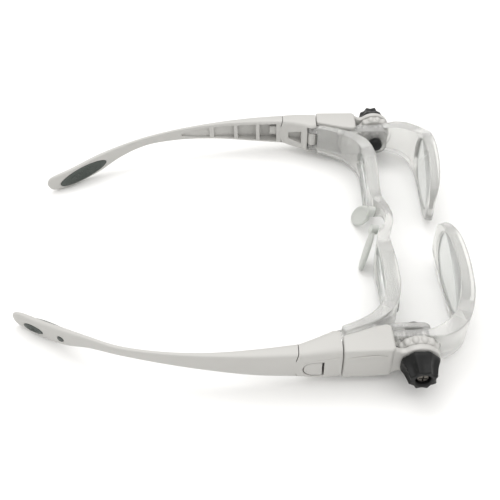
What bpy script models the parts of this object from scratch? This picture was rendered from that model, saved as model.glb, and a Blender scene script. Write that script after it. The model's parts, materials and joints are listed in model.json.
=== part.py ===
"""Head-worn binocular magnifier, built as an assembly of its separate pieces.

Spectacle-style frame with two eyepiece lenses, two objective lenses on rack-driven arms,
side knobs that focus them, and plug-in temple arms on fold hinges.

World frame: +X forward, +Y to the wearer's left, +Z up, the table at z = 0.
The tables and constants below are in millimetres with x = 0 at the focus axis; MM turns them
into metres, and CENTRE_X moves the whole object so that the origin is under its middle.
Left-hand pieces are drawn once and mirrored across y = 0 for the right.
"""
import math

import bmesh
import bpy
import numpy as np

MM = 0.001
CENTRE_X = 67.95
SIDES = (("left", 1.0), ("right", -1.0))
GAP = 0.3
LIMB_CORNERS = 16

# Focus drive: the knob, its shaft and the rack share one axis, parallel to Y.
AXIS_Z = 11.8
SHAFT_R = 1.6
RACK_PITCH = 2.4
PINION_TEETH = 8
PITCH_R = PINION_TEETH * RACK_PITCH / (2 * math.pi)
TOOTH_HALF = 0.19 * RACK_PITCH
ADDENDUM = 0.65
DEDENDUM = 0.95

# Layers of the focus drive along Y, from the middle of the head outwards.
LUG_IN, LUG_OUT = 59.0, 61.4
ARM_MID, ARM_THICK = 63.5, 3.4
WHEEL_IN, WHEEL_OUT = 65.6, 69.5
LOBE_IN, LOBE_OUT = 69.9, 72.3
KNOB_IN, KNOB_OUT = 72.7, 80.9
WHEEL_R = 8.5
WHEEL_BUMPS = 14
LOBE_R = 8.0
KNOB_BASE_R, KNOB_TIP_R = 7.6, 5.6

# Fold hinge between the side cover and the hinge block.
# Both pins lean the same way across the frame, so that one folded arm passes over the other.
HINGE_X, HINGE_Y = -30.7, 64.1
HINGE_LEAN = math.radians(3.0)
HINGE_PIN_R, HINGE_BORE_R = 0.8, 0.95
HINGE_GAP = 0.4
KNUCKLE_R = 2.2
KNUCKLE_LOW, KNUCKLE_HIGH = 8.5, 15.2
EAR_LOW, EAR_HIGH = 5.4, 18.0
SEAM_FRONT = -28.6
SEAM_REAR = -45.0
SEAM_BULGE = 1.5
BLOCK_IN = 61.6

# Optics.
PUPIL_Y = 31.0
EYE_HALF_Y, EYE_HALF_Z, EYE_Z = 17.0, 7.8, 11.9
OBJ_HALF_Y, OBJ_HALF_Z, OBJ_Z = 19.0, 12.6, 14.9
OVAL_POWER = 2.5
LENS_END_GAP, LENS_RIM_GAP = 1.1, 0.4

# Front frame, from the middle of the bridge to the left hinge:
# x, y, thickness, bottom, top.
FRAME_HALF = (
    (-1.8, 0.0, 3.4, 13.2, 18.6),
    (-2.9, 5.5, 3.4, 12.8, 18.8),
    (-6.0, 10.6, 4.6, 7.6, 19.9),
    (-6.6, 16.0, 5.4, 3.4, 21.0),
    (-6.1, 31.0, 6.2, 2.4, 21.4),
    (-6.8, 45.0, 5.8, 2.6, 21.1),
    (-9.3, 51.1, 5.6, 3.0, 20.6),
    (-12.8, 55.0, 4.8, 3.3, 20.1),
    (-18.2, 58.3, 3.8, 3.5, 19.9),
    (-28.0, 62.3, 3.2, 3.8, 19.8),
)

# Lens arm, from its tail in the side cover to the tip beside the nose.
ARM = (
    (-15.0, ARM_MID, ARM_THICK, 5.5, 17.9),
    (-6.0, ARM_MID, ARM_THICK, 5.4, 18.0),
    (0.5, ARM_MID, ARM_THICK, 4.8, 18.1),
    (5.2, ARM_MID + 0.1, ARM_THICK + 0.2, 4.2, 18.5),
    (9.4, 63.5, 5.8, 3.9, 19.3),
    (12.9, 62.0, 6.1, 3.7, 19.9),
    (16.4, 59.2, 6.2, 3.4, 20.7),
    (19.3, 54.8, 5.9, 2.5, 22.2),
    (20.8, 49.0, 5.4, 1.1, 25.4),
    (21.0, 42.0, 4.9, 0.3, 28.3),
    (20.8, 31.0, 4.8, 0.0, 29.5),
    (20.2, 20.0, 4.6, 0.7, 27.8),
    (19.2, 12.4, 4.0, 3.2, 24.6),
    (18.4, 9.3, 3.4, 5.4, 22.2),
    (17.8, 7.5, 1.9, 8.8, 18.8),
)
RACK_WINDOW = (-11.6, 4.6)

# Temple arm: x, outer y, inner y, bottom, top.
TEMPLE = (
    (SEAM_REAR - 0.35, 74.2, 67.4, 5.2, 18.9),
    (-60.0, 73.9, 68.7, 5.9, 18.1),
    (-80.0, 72.0, 69.2, 7.8, 16.7),
    (-100.0, 68.7, 66.7, 9.3, 15.1),
    (-114.0, 65.1, 62.9, 9.3, 13.9),
    (-126.0, 60.0, 57.4, 6.9, 13.1),
    (-137.0, 55.1, 51.4, 2.4, 11.7),
    (-149.0, 48.4, 44.6, 0.15, 9.4),
    (-157.0, 43.6, 40.7, 0.7, 8.2),
    (-160.3, 41.4, 40.6, 3.0, 6.2),
)
BLOCK = (
    (SEAM_REAR, 74.2, 67.4, 5.1, 18.9),
    (-38.5, 74.2, 64.9, 3.8, 19.6),
    (-33.5, 73.9, 62.6, 3.4, 19.9),
    (HINGE_X - 0.2, 73.7, BLOCK_IN, 3.3, 19.95),
    (SEAM_FRONT - 0.4, 73.5, BLOCK_IN + 0.7, 3.4, 19.9),
)
TEMPLE_CORNERS = (0.42, 0.78)
POCKETS = ((-96.0, -82.0), (-79.8, -69.6), (-67.8, -58.6), (-56.8, -48.4))
POCKET_WALL = 1.5
PAD_X, PAD_HALF = -143.5, (12.4, 3.3)
OUTER_PAD_X, OUTER_PAD_HALF = -150.6, (5.0, 1.9)
PLUG_X, PLUG_R = -138.0, 1.4

# Release button on the hinge block's outer face.
BUTTON_X, BUTTON_Z, BUTTON_R = -39.6, 10.75, 3.75
BUTTON_FRONT = -36.4
BUTTON_FLOOR, BUTTON_IN, BUTTON_OUT = 69.7, 71.0, 74.2

COLOURS = {
    # name: (red, green, blue, alpha), roughness, metallic
    "white_plastic": ((0.86, 0.84, 0.81, 1.0), 0.32, 0.0),
    "clear_plastic": ((0.90, 0.92, 0.92, 0.40), 0.12, 0.0),
    "lens_plastic": ((0.95, 0.97, 0.97, 0.25), 0.03, 0.0),
    "clear_silicone": ((0.86, 0.87, 0.85, 0.55), 0.45, 0.0),
    "black_plastic": ((0.035, 0.035, 0.037, 1.0), 0.45, 0.0),
    "grey_rubber": ((0.10, 0.11, 0.10, 1.0), 0.75, 0.0),
    "steel": ((0.58, 0.58, 0.60, 1.0), 0.28, 1.0),
}


def clear_scene():
    for item in list(bpy.data.objects):
        bpy.data.objects.remove(item, do_unlink=True)


def material(piece, look):
    colour, roughness, metallic = COLOURS[look]
    paint = bpy.data.materials.new(piece + "_" + look)
    paint.use_nodes = True
    shader = paint.node_tree.nodes["Principled BSDF"]
    shader.inputs["Base Color"].default_value = colour
    shader.inputs["Alpha"].default_value = colour[3]
    shader.inputs["Roughness"].default_value = roughness
    shader.inputs["Metallic"].default_value = metallic
    return paint


def add_object(name, solid, side=1.0, pivot=(0.0, 0.0, 0.0)):
    """Make a mesh object from (vertices, faces) in millimetres, with its origin at the pivot."""
    vertices, faces = solid
    px, py, pz = pivot
    mesh = bpy.data.meshes.new(name)
    moved = [((x - px) * MM, side * (y - py) * MM, (z - pz) * MM) for x, y, z in vertices]
    mesh.from_pydata(moved, [], faces)
    work = bmesh.new()
    work.from_mesh(mesh)
    bmesh.ops.recalc_face_normals(work, faces=work.faces)
    work.to_mesh(mesh)
    work.free()
    mesh.shade_smooth()
    mesh.set_sharp_from_angle(angle=math.radians(32))
    item = bpy.data.objects.new(name, mesh)
    item.location = ((px + CENTRE_X) * MM, side * py * MM, pz * MM)
    bpy.context.collection.objects.link(item)
    return item


def piece(name, solid, look, side=1.0, pivot=(0.0, 0.0, 0.0), chamfer=0.0):
    item = add_object(name, solid, side, pivot)
    item.data.materials.append(material(name, look))
    if chamfer > 0:
        bevel = item.modifiers.new("edge", "BEVEL")
        bevel.width = chamfer * MM
        bevel.segments = 1
        bevel.limit_method = "ANGLE"
        bevel.angle_limit = math.radians(50)
    return item


def combine(target, name, solid, side, operation):
    """Cut a helper solid from the target, or join it on."""
    helper = add_object(name, solid, side)
    helper.hide_render = True
    helper.display_type = "WIRE"
    boolean = target.modifiers.new(name, "BOOLEAN")
    boolean.operation = operation
    boolean.solver = "EXACT"
    boolean.object = helper
    return helper


# Curves through stations -------------------------------------------------------------------

def curve_through(stations):
    """Return a function of arc length for a smooth curve through the stations, and its length."""
    table = np.array(stations, dtype=float)
    steps = np.linalg.norm(np.diff(table[:, :2], axis=0), axis=1)
    knots = np.concatenate(([0.0], np.cumsum(steps)))
    rate = np.diff(table, axis=0) / steps[:, None]
    before, after = steps[:-1, None], steps[1:, None]
    inner = (after * rate[:-1] + before * rate[1:]) / (before + after)
    slope = np.vstack((rate[:1], inner, rate[-1:]))

    def at(distance):
        index = int(np.clip(np.searchsorted(knots, distance) - 1, 0, len(steps) - 1))
        span = steps[index]
        t = (distance - knots[index]) / span
        low, high = table[index], table[index + 1]
        value = ((2 * t**3 - 3 * t**2 + 1) * low + (t**3 - 2 * t**2 + t) * span * slope[index]
                 + (3 * t**2 - 2 * t**3) * high + (t**3 - t**2) * span * slope[index + 1])
        return value

    return at, knots[-1]


def distance_where(at, length, column, value):
    """Arc length at which one column of the curve, rising or falling, passes a value."""
    grid = np.linspace(0.0, length, 600)
    values = np.array([at(d)[column] for d in grid])
    crossing = np.nonzero(np.diff(np.sign(values - value)))[0][0]
    share = (value - values[crossing]) / (values[crossing + 1] - values[crossing])
    return grid[crossing] + share * (grid[1] - grid[0])


def normal_at(at, distance, outward):
    """Unit normal of the curve in plan, to its left when outward is 1."""
    ahead, behind = at(distance + 0.05), at(distance - 0.05)
    along = (ahead - behind)[:2]
    along /= np.linalg.norm(along)
    return outward * np.array((-along[1], along[0]))


# Solids ------------------------------------------------------------------------------------

def band(at, columns, windows, outward):
    """Upright band along a curve, pierced by windows given as (start, end, low, high)."""
    vertices = []
    inside = []
    for distance in columns:
        x, y, thickness, bottom, top = at(distance)
        nx, ny = normal_at(at, distance, outward)
        third = (top - bottom) / 3
        low, high, window = bottom + third, top - third, -1
        for number, (start, end, low_edge, high_edge) in enumerate(windows):
            if start - 1e-6 <= distance <= end + 1e-6:
                low, high, window = low_edge(distance), high_edge(distance), number
        inside.append(window)
        for z in (bottom, low, high, top):
            for half in (-0.5, 0.5):
                vertices.append((x + nx * half * thickness, y + ny * half * thickness, z))

    def corner(column, row, face):
        return (column * 4 + row) * 2 + face

    faces = []
    last = len(columns) - 1
    for c in range(last):
        open_here = inside[c] >= 0 and inside[c] == inside[c + 1]
        for row in range(3):
            if row == 1 and open_here:
                continue
            for face in (0, 1):
                faces.append((corner(c, row, face), corner(c + 1, row, face),
                              corner(c + 1, row + 1, face), corner(c, row + 1, face)))
        for row in (0, 1, 2, 3) if open_here else (0, 3):
            faces.append((corner(c, row, 0), corner(c, row, 1),
                          corner(c + 1, row, 1), corner(c + 1, row, 0)))
    ends = [(0, row) for row in range(3)] + [(last, row) for row in range(3)]
    for c in range(1, last):
        if inside[c] >= 0 and inside[c - 1] != inside[c]:
            ends.append((c, 1))
        if inside[c] >= 0 and inside[c + 1] != inside[c]:
            ends.append((c, 1))
    for c, row in ends:
        faces.append((corner(c, row, 0), corner(c, row, 1),
                      corner(c, row + 1, 1), corner(c, row + 1, 0)))
    return vertices, faces


def oval_window(middle, half_length, half_height, centre_z):
    """Window with an oval outline, a little squarer than an ellipse."""
    def height(distance):
        share = min(abs(distance - middle) / half_length, 1.0)
        return half_height * max(1.0 - share**OVAL_POWER, 0.0) ** (1.0 / OVAL_POWER)

    end = half_length * 0.988
    return (middle - end, middle + end,
            lambda d: centre_z - height(d), lambda d: centre_z + height(d))


def window_columns(window, count):
    """Arc lengths across a window, closer together at its ends."""
    start, end = window[:2]
    middle, half = (start + end) / 2, (end - start) / 2
    return [middle - half * math.cos(math.pi * i / count) for i in range(count + 1)]


def columns_between(start, end, step):
    count = max(1, round((end - start) / step))
    return [start + (end - start) * i / count for i in range(count + 1)]


def lens(at, middle, outward, half_length, half_height, centre_z, faces_x, spokes=28):
    """Lens in a window; faces_x gives the back and front face offsets at a share of the radius."""
    x, y = at(middle)[:2]
    nx, ny = normal_at(at, middle, outward)
    shares = (1.0, 0.75, 0.45)
    rings = []
    for front in (0, 1):
        order = shares if front else shares[::-1]
        for share in order:
            ring = []
            for k in range(spokes):
                angle = 2 * math.pi * k / spokes
                c, s = math.cos(angle), math.sin(angle)
                along = math.copysign(abs(c) ** (2 / OVAL_POWER), c) * half_length * share
                rise = math.copysign(abs(s) ** (2 / OVAL_POWER), s) * half_height * share
                offset = faces_x(share)[front]
                ring.append((x + nx * offset - ny * along, y + ny * offset + nx * along,
                             centre_z + rise))
            rings.append(ring)
    poles = [(x + nx * faces_x(0.0)[f], y + ny * faces_x(0.0)[f], centre_z) for f in (0, 1)]
    return closed_rings(rings, poles)


def closed_rings(rings, poles=None):
    """Skin a list of equal rings, and close the ends with a fan to each pole or a flat cap."""
    count = len(rings[0])
    vertices = [point for ring in rings for point in ring]
    faces = []
    for r in range(len(rings) - 1):
        for k in range(count):
            j = (k + 1) % count
            faces.append((r * count + k, r * count + j,
                          (r + 1) * count + j, (r + 1) * count + k))
    first, final = list(range(count)), [(len(rings) - 1) * count + k for k in range(count)]
    if poles is None:
        faces += [tuple(first), tuple(final)]
        return vertices, faces
    for ring, pole in ((first, poles[0]), (final, poles[1])):
        vertices.append(pole)
        faces += [(ring[k], ring[(k + 1) % count], len(vertices) - 1) for k in range(count)]
    return vertices, faces


def turned(profile, spokes, closed=False, wave=None):
    """Solid turned about the focus axis from (y, radius) pairs; wave scales the radius."""
    rings = []
    for y, radius in profile:
        ring = []
        for k in range(spokes):
            angle = 2 * math.pi * k / spokes
            r = radius * (wave(angle, y, radius) if wave else 1.0)
            ring.append((r * math.sin(angle), y, AXIS_Z + r * math.cos(angle)))
        rings.append(ring)
    if closed:
        vertices, faces = closed_rings(rings + rings[:1])
        count = spokes
        total = len(rings) * count
        faces = [tuple(i % total for i in face) for face in faces if len(face) == 4]
        return vertices[:total], faces
    return closed_rings(rings)


def upright(outline, low, high):
    """Prism with a plan outline."""
    return closed_rings([[(x, y, z) for x, y in outline] for z in (low, high)])


def sideways(outline, inner, outer):
    """Prism across Y with an outline of (x, z) points."""
    return closed_rings([[(x, y, z) for x, z in outline] for y in (inner, outer)])


def box(x0, x1, y0, y1, z0, z1):
    return upright(((x0, y0), (x1, y0), (x1, y1), (x0, y1)), z0, z1)


def arc(cx, cy, radius, start, end, count):
    """Points on an arc, angles in degrees."""
    return [(cx + radius * math.cos(math.radians(start + (end - start) * i / count)),
             cy + radius * math.sin(math.radians(start + (end - start) * i / count)))
            for i in range(count + 1)]


def limb(stations, count, bulge_end, corners=(0.42, 0.42)):
    """Solid along X with rounded rectangular sections; one end bulges to the rear.

    A section's corner power runs from nearly square, 0.4, to nearly elliptical, 0.8."""
    at, length = curve_through(stations)
    rings = []
    for distance in columns_between(0.0, length, length / count):
        x, outer, inner, bottom, top = at(distance)
        corner = corners[0] + (corners[1] - corners[0]) * distance / length
        ring = []
        for k in range(LIMB_CORNERS):
            angle = 2 * math.pi * (k + 0.5) / LIMB_CORNERS
            c, s = math.cos(angle), math.sin(angle)
            u = math.copysign(abs(c) ** corner, c)
            v = math.copysign(abs(s) ** corner, s)
            shift = SEAM_BULGE * (1 - v * v) if bulge_end and distance < 1e-6 else 0.0
            ring.append((x - shift, (outer + inner) / 2 + u * (outer - inner) / 2,
                         (top + bottom) / 2 + v * (top - bottom) / 2))
        rings.append(ring)
    poles = []
    for distance, shift in ((0.0, SEAM_BULGE if bulge_end else 0.0), (length, 0.0)):
        x, outer, inner, bottom, top = at(distance)
        poles.append((x - shift, (outer + inner) / 2, (top + bottom) / 2))
    return closed_rings(rings, poles)


def oval_plug(centre, along, normal, half, depths, spokes=20, crown=0.0):
    """Oval prism standing on a slanted surface; crown shrinks the outer end."""
    centre, along, normal = (np.array(v, dtype=float) for v in (centre, along, normal))
    along /= np.linalg.norm(along)
    normal -= along * normal.dot(along)
    normal /= np.linalg.norm(normal)
    across = np.cross(normal, along)
    rings = []
    for number, depth in enumerate(depths):
        shrink = crown if number == len(depths) - 1 else 0.0
        rings.append([tuple(centre + normal * depth
                            + along * (half[0] - shrink) * math.cos(2 * math.pi * k / spokes)
                            + across * (half[1] - shrink) * math.sin(2 * math.pi * k / spokes))
                      for k in range(spokes)])
    return closed_rings(rings)


# Clear front frame and lenses --------------------------------------------------------------

def frame_curve():
    right = [(x, -y, thickness, bottom, top) for x, y, thickness, bottom, top in FRAME_HALF[:0:-1]]
    return curve_through(right + list(FRAME_HALF))


def eye_windows(at, length):
    middles = [distance_where(at, length, 1, side * PUPIL_Y) for side in (-1, 1)]
    return [oval_window(m, EYE_HALF_Y, EYE_HALF_Z, EYE_Z) for m in middles]


def add_front_frame():
    at, length = frame_curve()
    windows = eye_windows(at, length)
    columns = (columns_between(0.0, windows[0][0], 4.2)[:-1] + window_columns(windows[0], 12)
               + columns_between(windows[0][1], windows[1][0], 3.0)[1:-1]
               + window_columns(windows[1], 12) + columns_between(windows[1][1], length, 4.2)[1:])
    frame = piece("front_frame", band(at, columns, windows, -1), "clear_plastic", chamfer=0.45)
    for label, side in SIDES:
        combine(frame, "join_lug_" + label, lug_solid(), side, "UNION")
        for level, (low, high) in (("low", (EAR_LOW, KNUCKLE_LOW - HINGE_GAP)),
                                   ("high", (KNUCKLE_HIGH + HINGE_GAP, EAR_HIGH))):
            combine(frame, "join_ear_%s_%s" % (level, label),
                    upright(ear_outline(), low, high), side, "UNION")
        combine(frame, "cut_shaft_bore_" + label,
                turned(((LUG_IN - 2, SHAFT_R + GAP), (LUG_OUT + 2, SHAFT_R + GAP)), 24),
                side, "DIFFERENCE")
        combine(frame, "cut_hinge_bore_" + label,
                hinge_round(HINGE_BORE_R, 3.0, 21.0, side), side, "DIFFERENCE")


def lug_solid():
    """Plate that carries the inner end of the focus shaft."""
    under_roof, free, corner = 6.1, 6.9, 4.0
    rear, step, front = -18.5, -9.0, 5.9
    outline = ([(rear, AXIS_Z - under_roof), (step, AXIS_Z - under_roof), (step, AXIS_Z - free)]
               + arc(front - corner, AXIS_Z - free + corner, corner, -90, 0, 5)
               + arc(front - corner, AXIS_Z + free - corner, corner, 0, 90, 5)
               + [(step, AXIS_Z + free), (step, AXIS_Z + under_roof),
                  (rear, AXIS_Z + under_roof)])
    return sideways(outline, LUG_IN, LUG_OUT)


def ear_outline():
    """Hinge ear: a round eye about the pin with a neck into the frame."""
    return [(-27.2, 61.2), (-26.6, 63.4)] + arc(HINGE_X, HINGE_Y, KNUCKLE_R, 50, 250, 10)


def hinge_round(radius, low, high, side):
    """Cylinder about the leaning hinge axis."""
    shift = side * math.tan(HINGE_LEAN)
    return closed_rings([[(x, y + (z - AXIS_Z) * shift, z)
                          for x, y in arc(HINGE_X, HINGE_Y, radius, 0, 340, 17)]
                         for z in (low, high)])


def add_eyepiece(label, side):
    at, length = frame_curve()
    middle = distance_where(at, length, 1, PUPIL_Y)

    def faces_x(share):
        return (-0.7 - 2.0 * share**2, 0.7 + 1.6 * share**2)

    solid = lens(at, middle, -1, EYE_HALF_Y - LENS_END_GAP, EYE_HALF_Z - LENS_RIM_GAP, EYE_Z, faces_x)
    piece("eyepiece_lens_" + label, solid, "lens_plastic", side)


def add_nose_pad(label, side):
    """Soft leaf that hangs down and back from the bridge, with a neck up to it."""
    top, low = np.array((-9.6, 6.4, 14.1)), np.array((-14.6, 15.6, 1.5))
    half = (9.0, 4.3)
    middle = (top + low) / 2
    along = low - top
    solid = oval_plug(middle, along, (-0.95, -0.21, 0.22), half, (-1.0, 0.0, 0.9), crown=0.7)
    pad = piece("nose_pad_" + label, solid, "clear_silicone", side)
    neck = oval_plug((-7.6, 5.6, 15.0), (0.3, 0.2, 1.0), (-1.0, 0.0, 0.0), (2.4, 1.8),
                     (0.0, 3.0), spokes=12)
    combine(pad, "join_neck_" + label, neck, side, "UNION")


# Side cover and hinge ----------------------------------------------------------------------

def add_side_cover(label, side):
    outline = ([(SEAM_FRONT, 65.4), (-23.7, 63.9), (-19.6, 62.4), (-16.4, 61.3)]
               + arc(-11.6, 62.4, 2.0, 250, 350, 5) + arc(-11.4, 70.9, 2.0, 0, 90, 4)
               + [(SEAM_FRONT, 73.3)])
    cover = piece("side_cover_" + label, upright(outline, 3.6, 19.9), "white_plastic", side,
                  chamfer=0.9)
    dip = ((-13.0, 7.9), (-10.6, 7.3), (-8.6, 6.3), (-7.2, 5.6))
    lobe = ([(x, AXIS_Z - z) for x, z in dip] + arc(0, AXIS_Z, LOBE_R, -132, 132, 20)
            + [(x, AXIS_Z + z) for x, z in dip[::-1]])
    combine(cover, "join_lobe_" + label, sideways(lobe, LOBE_IN, LOBE_OUT), side, "UNION")
    cavity = ((-31.0, 55.0), (12.0, 55.0), (12.0, LOBE_IN), (-26.4, LOBE_IN), (-26.4, 67.2),
              (-31.0, 67.2))
    combine(cover, "cut_cavity_" + label, upright(cavity, 5.0, 18.4), side, "DIFFERENCE")
    combine(cover, "cut_shaft_" + label,
            turned(((LOBE_IN - 1, SHAFT_R + GAP), (LOBE_OUT + 2, SHAFT_R + GAP)), 24), side,
            "DIFFERENCE")


def add_hinge(label, side):
    pivot = (HINGE_X, HINGE_Y, AXIS_Z)
    pin = hinge_round(HINGE_PIN_R, EAR_LOW + 0.2, EAR_HIGH - 0.2, side)
    piece("hinge_pin_" + label, pin, "steel", side)
    block = piece("hinge_block_" + label, limb(BLOCK, 6, True), "white_plastic", side, pivot)
    combine(block, "cut_ear_room_" + label,
            box(HINGE_X - 2.6, -26.0, 60.0, HINGE_Y + 2.5, EAR_LOW - HINGE_GAP, EAR_HIGH + HINGE_GAP),
            side,
            "DIFFERENCE")
    eye = (arc(HINGE_X, HINGE_Y, KNUCKLE_R, -170, 40, 12)
           + [(HINGE_X + 0.4, HINGE_Y + 3.4), (HINGE_X - 3.4, HINGE_Y + 3.4),
              (HINGE_X - 3.4, HINGE_Y + 0.7)])
    combine(block, "join_knuckle_" + label, upright(eye, KNUCKLE_LOW, KNUCKLE_HIGH), side, "UNION")
    combine(block, "cut_pin_bore_" + label,
            hinge_round(HINGE_BORE_R, 7.2, 16.8, side), side, "DIFFERENCE")
    combine(block, "cut_inner_recess_" + label,
            sideways(((-42.4, 9.6), (-36.1, 8.1), (-36.1, 15.5), (-42.4, 13.4)), 60.0, 68.2),
            side, "DIFFERENCE")
    tongue = limb(((SEAM_REAR + 0.6, 71.35, 69.25, 9.35, 14.95), (-51.6, 71.4, 69.9, 9.8, 14.6)),
                  2, False)
    combine(block, "join_tongue_" + label, tongue, side, "UNION")
    combine(block, "cut_button_seat_" + label,
            sideways(button_outline(0.35, 1.0), BUTTON_FLOOR, 76.0), side, "DIFFERENCE")
    button = sideways(button_outline(0.0, 0.0), BUTTON_IN, BUTTON_OUT)
    piece("release_button_" + label, button, "white_plastic", side,
          (BUTTON_X, BUTTON_IN, BUTTON_Z), chamfer=0.35)


def button_outline(grow, ahead):
    """D-shaped outline, round to the rear and straight at the front."""
    radius = BUTTON_R + grow
    front = BUTTON_FRONT + ahead
    return ([(front, BUTTON_Z - radius)]
            + [(front, BUTTON_Z + radius)] + arc(BUTTON_X, BUTTON_Z, radius, 90, 270, 12))


# Temple arm --------------------------------------------------------------------------------

def temple_surface(x, inner):
    """Point, direction along the arm and outward normal of the temple's face at x."""
    at, length = curve_through(TEMPLE)
    here = at(distance_where(at, length, 0, x))
    ahead = at(distance_where(at, length, 0, x + 4.0))
    column = 2 if inner else 1
    along = np.array((ahead[0] - here[0], ahead[column] - here[column],
                      ((ahead[3] + ahead[4]) - (here[3] + here[4])) / 2))
    normal = np.array((along[1], -along[0], 0.0)) * (1 if inner else -1)
    return (here[0], here[column], (here[3] + here[4]) / 2), along, normal


def pocket_solid(start, end):
    """Room cut in the temple's inner face, leaving a thin outer wall, floor and roof."""
    at, length = curve_through(TEMPLE)
    rings = []
    for x in (start, (start + end) / 2, end):
        _, outer, inner, bottom, top = at(distance_where(at, length, 0, x))
        wall = min(POCKET_WALL, (outer - inner) * 0.62)
        flare = 0.35 if x == start and start == POCKETS[0][0] else 1.0
        middle = (bottom + top) / 2
        half = ((top - bottom) / 2 - 1.5) * flare
        rings.append([(x, inner - 3.0, middle - half), (x, outer - wall, middle - half),
                      (x, outer - wall, middle + half), (x, inner - 3.0, middle + half)])
    return closed_rings(rings)


def add_temple(label, side):
    pivot = (HINGE_X, HINGE_Y, AXIS_Z)
    temple = piece("temple_arm_" + label, limb(TEMPLE, 26, True, TEMPLE_CORNERS),
                   "white_plastic", side, pivot)
    for number, (start, end) in enumerate(POCKETS):
        combine(temple, "cut_pocket_%d_%s" % (number, label), pocket_solid(start, end), side,
                "DIFFERENCE")
    combine(temple, "cut_socket_" + label, box(-52.6, -40.0, 69.0, 71.9, 8.9, 15.5), side,
            "DIFFERENCE")
    for name, x, half, inner in (("grip_pad_inner_", PAD_X, PAD_HALF, True),
                                 ("grip_pad_outer_", OUTER_PAD_X, OUTER_PAD_HALF, False),
                                 ("cord_plug_", PLUG_X, (PLUG_R, PLUG_R), False)):
        centre, along, normal = temple_surface(x, inner)
        seat = (half[0] + 0.2, half[1] + 0.2)
        combine(temple, "cut_%s%s" % (name, label),
                oval_plug(centre, along, normal, seat, (-0.9, 4.0)), side, "DIFFERENCE")
        piece(name + label, oval_plug(centre, along, normal, half, (-0.7, 0.05, 0.35), crown=0.5),
              "grey_rubber", side, pivot)


# Focus drive -------------------------------------------------------------------------------

def add_drive(label, side):
    pivot = (0.0, KNOB_IN, AXIS_Z)

    def flutes(angle, y, radius):
        deep = 0.15 * (radius > 3.5)
        return 1.0 - deep * abs(math.cos(4 * angle)) ** 0.8

    knob = ((KNOB_IN, SHAFT_R + 0.1), (KNOB_IN, KNOB_BASE_R), (KNOB_IN + 1.4, KNOB_BASE_R),
            (KNOB_IN + 2.8, 6.9), (KNOB_IN + 4.8, 6.2), (KNOB_OUT - 0.9, KNOB_TIP_R),
            (KNOB_OUT, KNOB_TIP_R - 0.8), (KNOB_OUT - 0.3, 2.9), (KNOB_OUT - 2.6, 2.8),
            (KNOB_OUT - 2.6, SHAFT_R + 0.1))
    piece("focus_knob_" + label, turned(knob, 48, True, flutes), "black_plastic", side, pivot)

    def scallops(angle, y, radius):
        return 1.0 - 0.075 * abs(math.sin(WHEEL_BUMPS / 2 * angle)) if radius > 3.5 else 1.0

    wheel = ((WHEEL_IN, SHAFT_R + 0.1), (WHEEL_IN, WHEEL_R), (WHEEL_OUT, WHEEL_R),
             (WHEEL_OUT, SHAFT_R + 0.1))
    piece("index_wheel_" + label, turned(wheel, 4 * WHEEL_BUMPS, True, scallops),
          "white_plastic", side, pivot)
    add_pinion(label, side, pivot)
    cap = ((55.4, 2.6), (56.0, 3.2), (58.6, 3.2), (58.6, 1.2), (56.9, 1.2))
    piece("shaft_cap_" + label, turned(cap, 24), "black_plastic", side, pivot)
    screw = ((KNOB_OUT - 4.9, 0.8), (KNOB_OUT - 2.3, 0.8), (KNOB_OUT - 2.3, 2.5),
             (KNOB_OUT - 1.5, 2.5), (KNOB_OUT - 1.0, 1.9))
    head = piece("knob_screw_" + label, turned(screw, 24), "steel", side, pivot)
    for name, wide, high in (("across", 1.5, 0.28), ("upright", 0.28, 1.5)):
        combine(head, "cut_slot_%s_%s" % (name, label),
                box(-wide, wide, KNOB_OUT - 1.8, KNOB_OUT + 1, AXIS_Z - high, AXIS_Z + high),
                side, "DIFFERENCE")


def add_pinion(label, side, pivot):
    """Shaft with its pinion, as one ring of corners per step: root, tip, tip, root per tooth."""
    root_half = (TOOTH_HALF + 0.24) / (PITCH_R - DEDENDUM)
    tip_half = 0.2 / (PITCH_R + ADDENDUM)
    angles = []
    for tooth in range(PINION_TEETH):
        middle = 2 * math.pi * tooth / PINION_TEETH
        angles += [(middle - root_half, False), (middle - tip_half, True),
                   (middle + tip_half, True), (middle + root_half, False)]

    def ring(y, root, tip):
        return [((tip if high else root) * math.sin(a), y, AXIS_Z + (tip if high else root)
                 * math.cos(a)) for a, high in angles]

    root, tip = PITCH_R - DEDENDUM, PITCH_R + ADDENDUM
    low, high = ARM_MID - ARM_THICK / 2 + 0.1, ARM_MID + ARM_THICK / 2 - 0.1
    end = KNOB_OUT - 3.0
    steps = ((57.2, 0.9, 0.9), (59.0 - 0.1, 0.9, 0.9), (59.0 - 0.1, SHAFT_R, SHAFT_R),
             (low, SHAFT_R, SHAFT_R), (low, root, tip), (high, root, tip),
             (high, SHAFT_R, SHAFT_R), (end, SHAFT_R, SHAFT_R), (end, 1.0, 1.0),
             (end - 2.2, 1.0, 1.0))
    piece("pinion_shaft_" + label, closed_rings([ring(*step) for step in steps]), "steel", side,
          pivot)


# Lens arms ---------------------------------------------------------------------------------

def rack_columns(offset):
    """Arc lengths of the rack's corners, and their heights, along the window's upper edge."""
    corners = []
    root, tip = AXIS_Z + PITCH_R + DEDENDUM, AXIS_Z + PITCH_R - ADDENDUM
    root_half = TOOTH_HALF + 0.36 * DEDENDUM
    tip_half = TOOTH_HALF - 0.36 * ADDENDUM
    for tooth in range(-5, 2):
        middle = (tooth + 0.5) * RACK_PITCH
        for x, z in ((-root_half, root), (-tip_half, tip), (tip_half, tip), (root_half, root)):
            corners.append((middle + x + offset, z))
    return corners


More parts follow.
